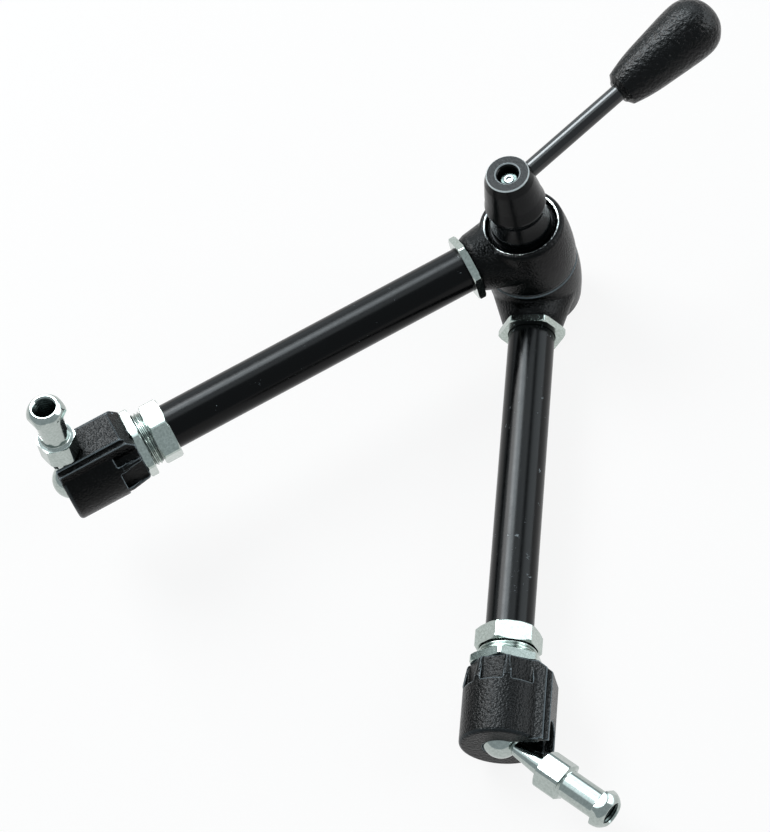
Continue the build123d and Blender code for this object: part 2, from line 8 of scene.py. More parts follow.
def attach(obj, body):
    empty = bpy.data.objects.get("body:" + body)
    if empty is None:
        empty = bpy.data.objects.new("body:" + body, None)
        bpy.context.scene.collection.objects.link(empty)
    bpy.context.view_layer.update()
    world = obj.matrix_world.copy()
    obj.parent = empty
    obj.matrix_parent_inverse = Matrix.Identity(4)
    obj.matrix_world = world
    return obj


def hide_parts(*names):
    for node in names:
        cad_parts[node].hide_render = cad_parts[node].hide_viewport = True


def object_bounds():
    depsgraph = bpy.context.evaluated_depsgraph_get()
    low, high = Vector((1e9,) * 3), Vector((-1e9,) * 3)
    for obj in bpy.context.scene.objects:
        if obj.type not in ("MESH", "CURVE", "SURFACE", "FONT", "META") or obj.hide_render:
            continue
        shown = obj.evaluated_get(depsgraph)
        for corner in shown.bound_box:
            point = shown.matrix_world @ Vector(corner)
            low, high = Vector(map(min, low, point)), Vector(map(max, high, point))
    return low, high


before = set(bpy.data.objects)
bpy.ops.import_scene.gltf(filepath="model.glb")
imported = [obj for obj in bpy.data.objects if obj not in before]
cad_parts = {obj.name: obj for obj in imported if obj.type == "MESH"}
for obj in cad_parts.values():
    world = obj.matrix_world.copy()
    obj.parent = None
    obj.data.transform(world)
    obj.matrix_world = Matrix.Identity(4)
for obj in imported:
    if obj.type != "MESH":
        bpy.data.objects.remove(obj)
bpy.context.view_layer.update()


# Elbow castings and ball housings
# Zinc-aluminium die castings, blasted and stove enamelled in black. The enamel wrinkles as it
# cures, so it is dark, half dull, and breaks every highlight into fine speckle. Its thickness
# rounds the cast edges. The face that the lever's skirt turns in is machined bright afterwards.

def linear(code):
    """An sRGB hex colour as linear red, green, blue and alpha."""
    channels = [int(code[i:i + 2], 16) / 255 for i in (1, 3, 5)]
    return [c / 12.92 if c <= 0.04045 else ((c + 0.055) / 1.055) ** 2.4 for c in channels] + [1.0]


def add(material, kind, inputs=None, **settings):
    """Adds a node; each input is a plain value or another node's output."""
    tree = material.node_tree
    node = tree.nodes.new(kind)
    for key, value in settings.items():
        setattr(node, key, value)
    for key, value in (inputs or {}).items():
        if isinstance(value, bpy.types.NodeSocket):
            tree.links.new(value, node.inputs[key])
        else:
            node.inputs[key].default_value = value
    return node


def ramp(material, factor, *stops):
    """A colour ramp whose stops are (position, hex colour)."""
    node = add(material, "ShaderNodeValToRGB", {"Fac": factor})
    while len(node.color_ramp.elements) < len(stops):
        node.color_ramp.elements.new(0.5)
    for element, (position, code) in zip(node.color_ramp.elements, stops):
        element.position, element.color = position, linear(code)
    return node.outputs["Color"]


def finish_of(name, **sockets):
    """A material and its shader, with the shader's own sockets set by name."""
    material = bpy.data.materials.new(name)
    material.use_nodes = True
    shader = material.node_tree.nodes["Principled BSDF"]
    for key, value in sockets.items():
        shader.inputs[key.replace("_", " ")].default_value = value
    return material, shader


def plug(material, shader, **outputs):
    """Links outputs to the shader's sockets by name."""
    for key, output in outputs.items():
        material.node_tree.links.new(output, shader.inputs[key.replace("_", " ")])


def dress(material, *names):
    """Gives CAD nodes their material."""
    for name in names:
        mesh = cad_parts[name].data
        mesh.materials.clear()
        mesh.materials.append(material)


def soften(node, voxel, passes):
    """Rounds a casting's edges by about a voxel (in mm), as the enamel does."""
    cells = node.modifiers.new("enamel_skin", "REMESH")
    cells.mode, cells.voxel_size, cells.use_smooth_shade = "VOXEL", voxel * MM, True
    flow = node.modifiers.new("enamel_flow", "SMOOTH")
    flow.factor, flow.iterations = 0.5, passes


def calc(material, operation, *values):
    """One step of arithmetic on plain values or outputs."""
    return add(material, "ShaderNodeMath", dict(enumerate(values)), operation=operation).outputs[0]


def about_elbow(material):
    """Height over the seam and distance from the elbow axis, in metres."""
    where = add(material, "ShaderNodeTexCoord").outputs["Object"]
    offset = add(material, "ShaderNodeVectorMath", {0: where, 1: ELBOW * MM}, operation="SUBTRACT")
    parts = add(material, "ShaderNodeSeparateXYZ", {0: offset.outputs[0]}).outputs
    flat = add(material, "ShaderNodeCombineXYZ", {0: parts[0], 1: parts[1]}).outputs[0]
    return parts[2], add(material, "ShaderNodeVectorMath", {0: flat}, operation="LENGTH").outputs["Value"]


def ring_tint(material, shader, radius, width, floor, code):
    """Shows another colour on a ring about the elbow axis, above a height, and gives the ring's mask."""
    height, reach = about_elbow(material)
    mask = calc(material, "MULTIPLY", calc(material, "COMPARE", reach, radius * MM, width * MM),
                calc(material, "GREATER_THAN", height, floor * MM))
    mixed = add(material, "ShaderNodeMix", {"Factor": mask}, data_type="RGBA")
    material.node_tree.links.new(shader.inputs["Base Color"].links[0].from_socket, mixed.inputs["A"])
    mixed.inputs["B"].default_value = linear(code)
    plug(material, shader, Base_Color=mixed.outputs["Result"])
    return mask


MM = 0.001
ELBOW = Vector((-36.2475, 254.7808, 17.2))      # middle of the seam on the elbow axis
CROWN = 28.6                                    # top of the upper casting over the seam
RIM_RADIUS, RIM_WIDTH, RIM_DEPTH = 16.45, 0.55, 0.9     # machined edge of the recess
WRINKLE, WRINKLE_RISE, GRIT = 1.3, 0.2, 1.3     # width and height of a wrinkle, grit per wrinkle
HOLLOW_SHADE = 5.0                                   # reach of the shade painted into the sheen in hollows
WORN_AND_LIT = (0.51, 0.56)                             # pointiness from which an edge is greyed, and fully greyed: partly wear, partly painted highlight
ELBOW_REACH, SEAM_EDGE = 40.0, 1.5              # this near the axis, edges are greyed only this near the seam
ELBOW_VOXEL, ELBOW_PASSES = 0.5, 5
HOUSING_VOXEL, HOUSING_PASSES = 0.36, 4

# Wrinkle enamel: black with a soft broken sheen, the sheen cut down in hollows as painted shade, and grey
# along edges as partly wear and partly painted highlight.
enamel, shader = finish_of("wrinkle_enamel_stoved", Roughness=0.25, IOR=1.5)
where = add(enamel, "ShaderNodeTexCoord").outputs["Object"]
coarse = add(enamel, "ShaderNodeTexNoise", {"Vector": where, "Scale": 1 / (WRINKLE * MM), "Detail": 2.0,
                                            "Roughness": 0.55, "Distortion": 0.8}).outputs["Fac"]
grit = add(enamel, "ShaderNodeTexVoronoi", {"Vector": where,
                                            "Scale": GRIT / (WRINKLE * MM)}).outputs["Distance"]
height = calc(enamel, "SUBTRACT", coarse, grit)
# Grey on edges and along the seam: partly wear, partly a painted highlight on crests and edges.
bend = add(enamel, "ShaderNodeNewGeometry").outputs["Pointiness"]
edge = add(enamel, "ShaderNodeMapRange", {"Value": bend, "From Min": WORN_AND_LIT[0], "From Max": WORN_AND_LIT[1]}).outputs[0]
above, reach = about_elbow(enamel)
off_seam = calc(enamel, "MULTIPLY", calc(enamel, "LESS_THAN", reach, ELBOW_REACH * MM),
                calc(enamel, "GREATER_THAN", calc(enamel, "ABSOLUTE", above), SEAM_EDGE * MM))
edge = calc(enamel, "MULTIPLY", edge, calc(enamel, "SUBTRACT", 1.0, off_seam))
skin = ramp(enamel, height, (0.0, "#010202"), (0.35, "#080a0b"))
colour = add(enamel, "ShaderNodeMix", {"Factor": edge}, data_type="RGBA")
enamel.node_tree.links.new(skin, colour.inputs["A"])
colour.inputs["B"].default_value = linear("#8a969c")
bump = add(enamel, "ShaderNodeBump", {"Strength": 1.0, "Distance": WRINKLE_RISE * MM, "Height": height})
# Painted shade: ambient occlusion cuts the sheen down in hollows.
open_air = add(enamel, "ShaderNodeAmbientOcclusion", {"Distance": HOLLOW_SHADE * MM}, samples=8).outputs["AO"]
sheen = add(enamel, "ShaderNodeMapRange", {"Value": open_air, "From Min": 0.35, "From Max": 0.95,
                                           "To Min": 0.01, "To Max": 0.12}).outputs[0]
plug(enamel, shader, Base_Color=colour.outputs["Result"], Specular_IOR_Level=sheen,
     Normal=bump.outputs["Normal"])
dress(enamel, "elbow_lower_half")

# The same enamel with a bright machined ring where the recess meets the crown.
machined = enamel.copy()
machined.name = "wrinkle_enamel_machined_rim"
shader = machined.node_tree.nodes["Principled BSDF"]
bare = ring_tint(machined, shader, RIM_RADIUS, RIM_WIDTH, floor=CROWN - RIM_DEPTH, code="#c9cdcd")
plug(machined, shader, Metallic=bare)
dress(machined, "elbow_upper_half")

for name in ("elbow_upper_half", "elbow_lower_half"):
    soften(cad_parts[name], ELBOW_VOXEL, ELBOW_PASSES)

# Each housing is its solid with the ribs and the pad filled up to the slot, joined by the remesh.
# Arm A runs under arm B; a facing is the side that the housing's pad looks to.
ARM_WAY = {"a": Vector((0, -1, 0)), "b": Vector((-0.85035, -0.52621, 0))}
ARM_FACING = {"a": Vector((1, 0, 0)), "b": Vector((0, 0, 1))}
ARM_ROOT = {"a": Vector((ELBOW.x, ELBOW.y, 0)), "b": Vector((ELBOW.x, ELBOW.y, 2 * ELBOW.z))}
REACH, SLOT, SLOT_END = 229.4, 6.6, 7.3          # ball's centre, half the slot, radius of its end
PAD_FROM, PAD_TO, PAD_SUNK = 217.0, 233.6, 16.6  # the pad's ends along the arm, and its underside
SLOT_STEPS = 12                                  # chords in the slot's round end
RIBS, RIB_TURN, RIB_WIDTH = 8, -12, 1.9
# Points of a rib's flank: distance along the arm, distance from its line.
RIB_OUTLINE = ((197.9, 14.6), (197.9, 16.5), (199.0, 16.9), (207.4, 18.15), (208.6, 17.6), (208.6, 14.6))
PAD_STEPS = ((8.0, 21.6), (10.0, 19.4))         # half width and height of the pad and its plinth
for side in "ab":
    way, facing = ARM_WAY[side], ARM_FACING[side]
    cast = bmesh.new()
    cast.from_mesh(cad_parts[f"socket_housing_{side}"].data)
    for k in range(RIBS):
        angle = radians(RIB_TURN + 360 / RIBS * k)
        spoke = facing * cos(angle) + way.cross(facing) * sin(angle)
        across = way.cross(spoke) * RIB_WIDTH / 2
        flanks = [[cast.verts.new((ARM_ROOT[side] + way * x + spoke * r + across * hand) * MM)
                   for x, r in RIB_OUTLINE] for hand in (-1, 1)]
        count = len(RIB_OUTLINE)
        walls = [cast.faces.new((flanks[0][i - 1], flanks[0][i], flanks[1][i], flanks[1][i - 1]))
                 for i in range(count)]
        walls += [cast.faces.new(flank) for flank in flanks]
        bmesh.ops.recalc_face_normals(cast, faces=walls)
    for half, top in PAD_STEPS:
        rim = [(PAD_FROM, -half), (PAD_TO, -half), (PAD_TO, -SLOT)]
        for k in range(SLOT_STEPS + 1):
            turn = radians(180 / SLOT_STEPS * k)
            rim.append((REACH - SLOT_END * sin(turn), -min(SLOT, max(-SLOT, SLOT_END * cos(turn)))))
        rim += [(PAD_TO, SLOT), (PAD_TO, half), (PAD_FROM, half)]
        floors = [[cast.verts.new((ARM_ROOT[side] + way * x + way.cross(facing) * y + facing * z) * MM)
                   for x, y in rim] for z in (PAD_SUNK, top)]
        count = len(rim)
        walls = [cast.faces.new((floors[0][k - 1], floors[0][k], floors[1][k], floors[1][k - 1]))
                 for k in range(count)]
        walls += [cast.faces.new(floor) for floor in floors]
        bmesh.ops.recalc_face_normals(cast, faces=walls)
    mesh = bpy.data.meshes.new(f"housing_casting_{side}")
    cast.to_mesh(mesh)
    cast.free()
    mesh.materials.clear()
    mesh.materials.append(enamel)
    for polygon in mesh.polygons:
        polygon.material_index = 0
    casting = bpy.data.objects.new(f"housing_casting_{side}", mesh)
    bpy.context.scene.collection.objects.link(casting)
    soften(casting, HOUSING_VOXEL, HOUSING_PASSES)
    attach(casting, f"arm_{side}")
    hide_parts(f"socket_housing_{side}")


# Tubes
# Drawn steel tube, degreased and sprayed gloss black. The paint has a slight orange peel and
# a few short scuffs from use, which show as thin pale marks along the tube.

PEEL, PEEL_RISE = 2.0, 0.05                     # width and height of one dimple of the paint
SCUFF = 6.0                                     # spacing of the scuffs
SCUFFED = (0.65, 0.7)                           # noise from which the paint is scuffed, and fully scuffed

# Sprayed gloss: black with narrow streaks of light, a slight waviness and thin pale scuffs.
gloss, shader = finish_of("gloss_black_sprayed", IOR=1.5, Specular_IOR_Level=0.15)
where = add(gloss, "ShaderNodeTexCoord").outputs["Object"]
peel = add(gloss, "ShaderNodeTexNoise", {"Vector": where, "Scale": 1 / (PEEL * MM),
                                         "Detail": 2.0}).outputs["Fac"]
scuff = add(gloss, "ShaderNodeTexNoise", {"Vector": where, "Scale": 1 / (SCUFF * MM), "Detail": 5.0,
                                          "Roughness": 0.75, "Distortion": 0.4}).outputs["Fac"]
worn = add(gloss, "ShaderNodeMapRange", {"Value": scuff, "From Min": SCUFFED[0],
                                         "From Max": SCUFFED[1]}).outputs[0]
rough = add(gloss, "ShaderNodeMapRange", {"Value": scuff, "From Min": 0.3, "From Max": 0.7,
                                          "To Min": 0.14, "To Max": 0.26}).outputs[0]
bump = add(gloss, "ShaderNodeBump", {"Strength": 0.3, "Distance": PEEL_RISE * MM, "Height": peel})
plug(gloss, shader, Base_Color=ramp(gloss, worn, (0.0, "#020304"), (1.0, "#8d979c")),
     Roughness=rough, Normal=bump.outputs["Normal"])
dress(gloss, "tube_a", "tube_b")


# Hexagonal studs
# Steel bar, turned and milled, then nickel plated bright. The tip is domed, the round waist takes
# the clamp's screw, and both ends are bored and tapped, so the mouth shows its thread.

def outline(corners):
    """Points along an outline of (along, radius, softening, spacing of the run that leads there)."""
    corners = [tuple(corner) + (0, 0)[len(corner) - 2:] for corner in corners]
    rounded = []
    for index, (along, radius, soft, spacing) in enumerate(corners):
        here = Vector((along, radius))
        if soft and 0 < index < len(corners) - 1:
            before = Vector(corners[index - 1][:2]) - here
            after = Vector(corners[index + 1][:2]) - here
            start = here + before.normalized() * min(soft, before.length / 2)
            end = here + after.normalized() * min(soft, after.length / 2)
            curve = [start.lerp(here, t).lerp(here.lerp(end, t), t) for t in (0, 0.25, 0.5, 0.75, 1)]
            rounded += [(curve[0], spacing)] + [(point, 0) for point in curve[1:]]
        else:
            rounded.append((here, spacing))
    points = [rounded[0][0]]
    for point, spacing in rounded[1:]:
        start = points[-1]
        count = max(1, round((point - start).length / spacing)) if spacing else 1
        points += [start.lerp(point, step / count) for step in range(1, count + 1)]
    return points


def thread_form(turns):
    """Depth of a 60 degree thread, 0 at the crest and 1 at the root, for a place along the helix."""
    rise = abs(2 * (turns - floor(turns)) - 1)
    return min(1, max(0, (rise - THREAD_FLAT) / (1 - 2 * THREAD_FLAT)))


def turned(name, axis, corners, material, body, flats=0, turn=0, threads=(), columns=96, closed=False,
           bore=None):
    """Piece turned about an axis and, with flats, milled to a hexagon. The axis is (origin, way, facing).

    A thread is (start, end, pitch, depth, radius), its depth negative inside a bore. The bore is
    (material, radius, start): what lies inside the radius past the start takes the material."""
    origin, way, facing = axis
    side = way.cross(facing)
    points = outline(corners)
    angles = {360 * step / columns for step in range(columns)}
    widest = max(point.y for point in points)
    if flats and widest > flats / 2:
        lip = max(LEAST_LIP, 30 - degrees(acos(flats / 2 / widest)))
        angles |= {(60 * k + part * lip) % 360 for k in range(6) for part in (-1, -0.5, 0.5, 1)}
    angles = sorted(angles)
    shape = bmesh.new()
    rings = []
    for along, radius in points:
        ring = []
        for angle in angles:
            reach = radius
            for start, end, pitch, depth, major in threads:
                if start < along < end and abs(radius - major) < ON_THREAD:
                    fade = min(1, (along - start) / (RUN_OUT * pitch), (end - along) / (RUN_OUT * pitch))
                    reach -= depth * fade * thread_form(along / pitch - angle / 360)
            if flats and radius > flats / 2:
                reach = min(reach, flats / 2 / cos(radians(30 - abs((angle + 30) % 60 - 30))))
            spoke = facing * cos(radians(angle + turn)) + side * sin(radians(angle + turn))
            ring.append(shape.verts.new((origin + way * along + spoke * reach) * MM))
        rings.append(ring)
    for index in range(len(rings) - (0 if closed else 1)):
        near, far = rings[index], rings[(index + 1) % len(rings)]
        middle = (points[index] + points[(index + 1) % len(rings)]) / 2
        for k in range(len(angles)):
            face = shape.faces.new((near[k - 1], near[k], far[k], far[k - 1]))
            face.material_index = int(bool(bore) and middle.y < bore[1] and middle.x > bore[2])
    bmesh.ops.remove_doubles(shape, verts=shape.verts, dist=WELD * MM)
    bmesh.ops.recalc_face_normals(shape, faces=shape.faces)
    for face in shape.faces:
        face.smooth = True
    for edge in shape.edges:
        if len(edge.link_faces) == 2 and edge.calc_face_angle(0) > radians(CRISP):
            edge.smooth = False
    mesh = bpy.data.meshes.new(name)
    shape.to_mesh(mesh)
    shape.free()
    mesh.materials.append(material)
    if bore:
        mesh.materials.append(bore[0])
    piece = bpy.data.objects.new(name, mesh)
    bpy.context.scene.collection.objects.link(piece)
    shading = piece.modifiers.new("flat_faces", "WEIGHTED_NORMAL")
    shading.keep_sharp = True
    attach(piece, body)
    return piece


def metal(name, code, dull, roughness, grain):
    """Bare or plated metal: fine grain, faint mottling between two colours, and painted shade darkening its
    corners.
    """
    material, shader = finish_of(name, Metallic=1.0)
    where = add(material, "ShaderNodeTexCoord").outputs["Object"]
    noise = add(material, "ShaderNodeTexNoise", {"Vector": where, "Scale": 1 / (grain * MM), "Detail": 3.0,
                                                 "Roughness": 0.6}).outputs["Fac"]
    rough = add(material, "ShaderNodeMapRange", {
        "Value": noise, "From Min": 0.3, "From Max": 0.7,
        "To Min": 0.7 * roughness, "To Max": 1.5 * roughness}).outputs[0]
    bump = add(material, "ShaderNodeBump", {"Strength": 0.35, "Distance": GRAIN_RISE * MM, "Height": noise})
    mottle = add(material, "ShaderNodeTexNoise", {"Vector": where, "Scale": 1 / (MOTTLE * MM),
                                                  "Detail": 2.0})
    # Painted shade: the colour darkens to dark grey in corners and creases.
    corner = add(material, "ShaderNodeAmbientOcclusion", {"Distance": CORNER_SHADE * MM}, samples=8).outputs["AO"]
    unshaded = add(material, "ShaderNodeMapRange", {"Value": corner, "From Min": 0.25,
                                                 "From Max": 0.75}).outputs[0]
    plate = ramp(material, mottle.outputs["Fac"], (0.35, dull), (0.65, code))
    colour = add(material, "ShaderNodeMix", {"Factor": unshaded}, data_type="RGBA")
    colour.inputs["A"].default_value = linear("#3a4442")
    material.node_tree.links.new(plate, colour.inputs["B"])
    plug(material, shader, Base_Color=colour.outputs["Result"], Roughness=rough,
         Normal=bump.outputs["Normal"])
    return material


GRAIN_RISE, MOTTLE, CORNER_SHADE = 0.02, 1.1, 1.4       # height of the grain, size of mottling, reach of the painted shade in corners
CRISP, WELD = 24, 0.004                         # degrees from which an edge stays crisp, points joined
THREAD_FLAT, RUN_OUT = 0.15, 0.5                # flat share of crest and root, turns in which a thread fades
ON_THREAD, LEAST_LIP = 0.05, 0.5                # nearness to a thread's radius, degrees beside a corner
# Balls' centres, and the studs' tilt in the photograph as cosine and sine.
BALL = {"a": Vector((-36.2475, 25.3805, 0)), "b": Vector((-231.318, 134.067, 34.4))}
TILT = {"a": (cos(radians(55)), sin(radians(55))), "b": (cos(radians(95)), sin(radians(95)))}
SWING = {"a": Vector((1, 0, 0)), "b": Vector((0, 0, 1))}
STUD_WAY = {side: ARM_WAY[side] * TILT[side][0] + SWING[side] * TILT[side][1] for side in "ab"}
STUD_FACING = {"a": Vector((0, 0, 1)), "b": Vector((0.52621, -0.85035, 0))}
STUD_TURN = {"a": 30, "b": 15}                  # hexagon's corner about the stud's line
FLATS, CORNERS = 15.8, 17.4
COLLAR, WAIST, HEAD, TIP = 23.3, 35.7, 52.8, 59.2       # from the ball's centre
COLLAR_BEVEL = (0.64, 1.1)                      # along and across
WAIST_RADIUS, WAIST_BLEND, WAIST_FILLET = 6.3, 0.8, 0.5
DOME_RADIUS, DOME_FACE, DOME_STEPS = 6.8, 6.0, 12
BROKEN = 0.12                                   # rounding of a broken edge
TAP_RADIUS, TAP_SINK, TAP_DEPTH, TAP_PITCH, TAP_CUT = 4.76, 0.7, 12.0, 1.59, 0.5
ROOT_BORE, ROOT_DEPTH = 4.05, 9.1

# Nickel: clear bright mirror with faint mottling. Unplated steel: dark, dull walls of the tapped bore.
nickel = metal("bright_nickel_plated", "#b0b9b5", "#a2aba7", roughness=0.11, grain=0.35)
unplated = metal("tapped_steel_unplated", "#4a5452", "#2c3332", roughness=0.3, grain=0.3)
sweep = acos(1 - (CORNERS / 2 - DOME_FACE) / DOME_RADIUS)
dome = [(TIP - DOME_RADIUS * (sin(sweep) - sin(sweep * t / DOME_STEPS)),
         CORNERS / 2 - DOME_RADIUS * (1 - cos(sweep * t / DOME_STEPS))) for t in range(DOME_STEPS + 1)]
for side in "ab":
    stud = turned(f"stud_bar_{side}", (BALL[side], STUD_WAY[side], STUD_FACING[side]), [
        (COLLAR + ROOT_DEPTH, 0), (COLLAR + ROOT_DEPTH, ROOT_BORE), (COLLAR, ROOT_BORE),
        (COLLAR, CORNERS / 2 - COLLAR_BEVEL[1], 0.1), (COLLAR + COLLAR_BEVEL[0], CORNERS / 2, 0.1, 0.08),
        (WAIST - WAIST_BLEND, CORNERS / 2), (WAIST - WAIST_BLEND, FLATS / 2, BROKEN),
        (WAIST, WAIST_RADIUS, WAIST_FILLET), (HEAD, WAIST_RADIUS, WAIST_FILLET),
        (HEAD + WAIST_BLEND, FLATS / 2, BROKEN), (HEAD + WAIST_BLEND, CORNERS / 2),
        *dome, (TIP, TAP_RADIUS + TAP_SINK, BROKEN), (TIP - TAP_SINK, TAP_RADIUS),
        (TIP - TAP_DEPTH, TAP_RADIUS, 0, 0.2), (TIP - TAP_DEPTH, 0)],
        nickel, f"stud_{side}", flats=FLATS, turn=STUD_TURN[side],
        threads=((TIP - TAP_DEPTH, TIP - TAP_SINK / 2, TAP_PITCH, -TAP_CUT, TAP_RADIUS),),
        bore=(unplated, TAP_RADIUS + 0.2, TIP - TAP_DEPTH - 1))
    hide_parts(f"hex_stud_{side}")


# Ball stems
# One piece turned from steel and nickel plated: ball, tapered neck and the thread that the stud
# screws onto. The neck passes through the slot of the housing.

BALL_RADIUS, NECK_ROOT, NECK_END, NECK_GAP = 8.6, 3.2, 4.8, 0.1     # the gap is under the stud
STEM_THREAD, STEM_LENGTH, BALL_STEPS = 4.0, 9.0, 32
root_angle = degrees(acos(NECK_ROOT / BALL_RADIUS))
for side in "ab":
    sweeps = [radians(-90 + (90 + root_angle) * t / BALL_STEPS) for t in range(BALL_STEPS + 1)]
    arc = [(BALL_RADIUS * sin(angle), BALL_RADIUS * cos(angle)) for angle in sweeps]
    stem = turned(f"ball_neck_{side}", (BALL[side], STUD_WAY[side], STUD_FACING[side]), [
        *arc, (COLLAR - NECK_GAP, NECK_END, 0.3), (COLLAR - NECK_GAP, STEM_THREAD),
        (COLLAR + STEM_LENGTH, STEM_THREAD), (COLLAR + STEM_LENGTH, 0)],
        nickel, f"ball_{side}", columns=64)
    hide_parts(f"ball_stem_{side}")


# Tube adapters
# Hexagon fittings turned from steel bar and zinc plated bright. Each is pressed into its tube and
# screwed into its housing, with some of the thread left bare ahead of the locknut.

ADAPTER_FLATS, ADAPTER_CORNERS, ADAPTER_BEVEL = 26.0, 29.4, 1.3
ADAPTER_TURN = {"a": -19, "b": -22}             # hexagon's corner about the arm's line, in degrees
HEX_START, HEX_END, NUT_START = 180.4, 189.0, 193.8
THREAD_RADIUS, THREAD_PITCH, THREAD_DEPTH, THREAD_END = 12.8, 1.6, 0.85, 208.6
UNDERCUT, SPIGOT_START, SPIGOT_RADIUS, BORE = 11.7, 165.4, 8.47, 4.3
UNDERCUT_LENGTH, LEAD = 0.5, 0.8                # groove behind the hexagon, and the thread's bevels
CUT_START, CUT_FINE, CUT_END = HEX_END + 0.4, NUT_START + 1.0, NUT_START + 2.0      # of the thread in view
EDGE_SOFT, EDGE_STEP = 0.08, 0.07               # rounding of a hexagon's bevels, and their points' spacing

# Zinc: a bright plate, a little softer and paler than the nickel.
zinc = metal("bright_zinc_plated", "#bac4bf", "#a6b0aa", roughness=0.14, grain=0.3)


def hexagon(start, length, corners, bevel):
    """Outline of a hexagon's outside, with both faces bevelled at 30 degrees."""
    drop = bevel * tan(radians(30))
    return [(start, corners / 2 - bevel, EDGE_SOFT), (start + drop, corners / 2, EDGE_SOFT, EDGE_STEP),
            (start + length - drop, corners / 2, EDGE_SOFT),
            (start + length, corners / 2 - bevel, EDGE_SOFT, EDGE_STEP)]


for side in "ab":
    adapter = turned(f"hexagon_adapter_{side}", (ARM_ROOT[side], ARM_WAY[side], ARM_FACING[side]), [
        (SPIGOT_START, BORE), (SPIGOT_START, SPIGOT_RADIUS), (HEX_START, SPIGOT_RADIUS),
        *hexagon(HEX_START, HEX_END - HEX_START, ADAPTER_CORNERS, ADAPTER_BEVEL),
        (HEX_END, UNDERCUT), (HEX_END + UNDERCUT_LENGTH, UNDERCUT), (HEX_END + LEAD, THREAD_RADIUS),
        (CUT_FINE, THREAD_RADIUS, 0, 0.13), (THREAD_END - LEAD, THREAD_RADIUS),
        (THREAD_END, THREAD_RADIUS - LEAD), (THREAD_END, BORE)],
        zinc, f"arm_{side}", flats=ADAPTER_FLATS, turn=ADAPTER_TURN[side], closed=True,
        threads=((CUT_START, CUT_END, THREAD_PITCH, THREAD_DEPTH, THREAD_RADIUS),))
    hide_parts(f"tube_adapter_{side}")


# Locknuts
# Thin hexagon nuts turned from steel bar, faces bevelled, zinc plated bright. A wide one locks
# each housing on its adapter and a smaller one closes each elbow boss on its tube.

NUT_BEVEL, NUT_MOUTH, NUT_FACE = 0.8, 0.3, 0.5  # outside corners, bore's mouth, face inside the flats
NUT_SOFT = 0.05                                 # rounding of the bore's edges
for node, start, length, flats, corners, bore, turns in (
        ("housing_locknut", NUT_START, 3.8, 29.4, 33.2, 12.83, {"a": 32, "b": -20}),
        ("elbow_locknut", 27.7, 3.5, 26.8, 30.6, 10.53, {"a": 0, "b": 0})):
    for side in "ab":
        nut = turned(f"{node}_blank_{side}", (ARM_ROOT[side], ARM_WAY[side], ARM_FACING[side]), [
            (start, bore + NUT_MOUTH, NUT_SOFT), (start, flats / 2 - NUT_FACE),
            *hexagon(start, length, corners, NUT_BEVEL), (start + length, flats / 2 - NUT_FACE),
            (start + length, bore + NUT_MOUTH, NUT_SOFT), (start + length - NUT_MOUTH, bore),
            (start + NUT_MOUTH, bore)],
            zinc, f"arm_{side}", flats=flats, turn=turns[side], closed=True)
        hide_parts(f"{node}_{side}")


# Draw bolt, its end nut, push rods and springs
# The bolt and the push rods are turned from steel, left plain and oiled. The bolt's small end nut,
# zinc plated, sits in the mouth of the lever hub, with the bolt's dimpled end just proud of it.

UP = Vector((0, 0, 1))
SPINDLE = (ELBOW, UP, Vector((1, 0, 0)))
END_NUT, END_NUT_LENGTH, END_NUT_FLATS, END_NUT_CORNERS = 59.8, 3.2, 7.0, 7.9       # foot, then sizes
END_NUT_FACE, END_NUT_BORE = 3.4, 2.03          # radii
END_NUT_SINK, END_NUT_LEAD = 0.3, 0.2           # bevel of the bore's mouth, across and along

# Oiled steel: grey and half dull. Shaded zinc: the end nut's plate darkened as painted shade for the hub's
# mouth.
steel = metal("turned_steel_oiled", "#9da1a2", "#83888a", roughness=0.24, grain=0.3)
dress(steel, "draw_bolt", "push_rod_a", "push_rod_b", "disc_springs")
painted_shade = metal("zinc_plated_dulled", "#525c59", "#39413f", roughness=0.2, grain=0.3)
# The end nut takes the darker zinc: painted shade.
nut = turned("hub_mouth_nut", SPINDLE, [
    (END_NUT, END_NUT_BORE + END_NUT_SINK), (END_NUT, END_NUT_FACE),
    *hexagon(END_NUT, END_NUT_LENGTH, END_NUT_CORNERS, bevel=0.5),
    (END_NUT + END_NUT_LENGTH, END_NUT_FACE),
    (END_NUT + END_NUT_LENGTH, END_NUT_BORE + END_NUT_SINK, NUT_SOFT),
    (END_NUT + END_NUT_LENGTH - END_NUT_LEAD, END_NUT_BORE), (END_NUT + END_NUT_LEAD, END_NUT_BORE)],
    painted_shade, "wedge_bolt", flats=END_NUT_FLATS, turn=10, closed=True)
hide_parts("bolt_end_nut")


# Lever hub and rod
# Turned from steel and blacked hot in salts, which leaves a thin dark oxide over the turning
# marks, so that it mirrors softly. The hub is a waisted drum, faced and bevelled at its mouth.

HUB_BASE, SAG_FOOT, SAG_TOP, WAIST_TOP = 27.1, 31.7, 39.0, 40.6     # heights over the seam
FLARE_FOOT, FLARE_TOP, DRUM_FOOT, DRUM_TOP, HUB_TOP = 45.0, 45.8, 52.0, 62.8, 67.4
SKIRT, WAIST_OF_HUB, FLARE, DRUM, BEVEL, FACE = 13.6, 12.5, 13.7, 12.65, 11.0, 9.6      # radii
DRUM_STEP, FACE_BEVEL, SAG_STEPS, SAG_POWER = 0.35, 0.45, 10, 1.9
MOUTH, MOUTH_DEPTH, COUNTERBORE, COUNTERBORE_FLOOR, SHAFT = 5.6, 1.1, 4.5, 58.6, 4.05


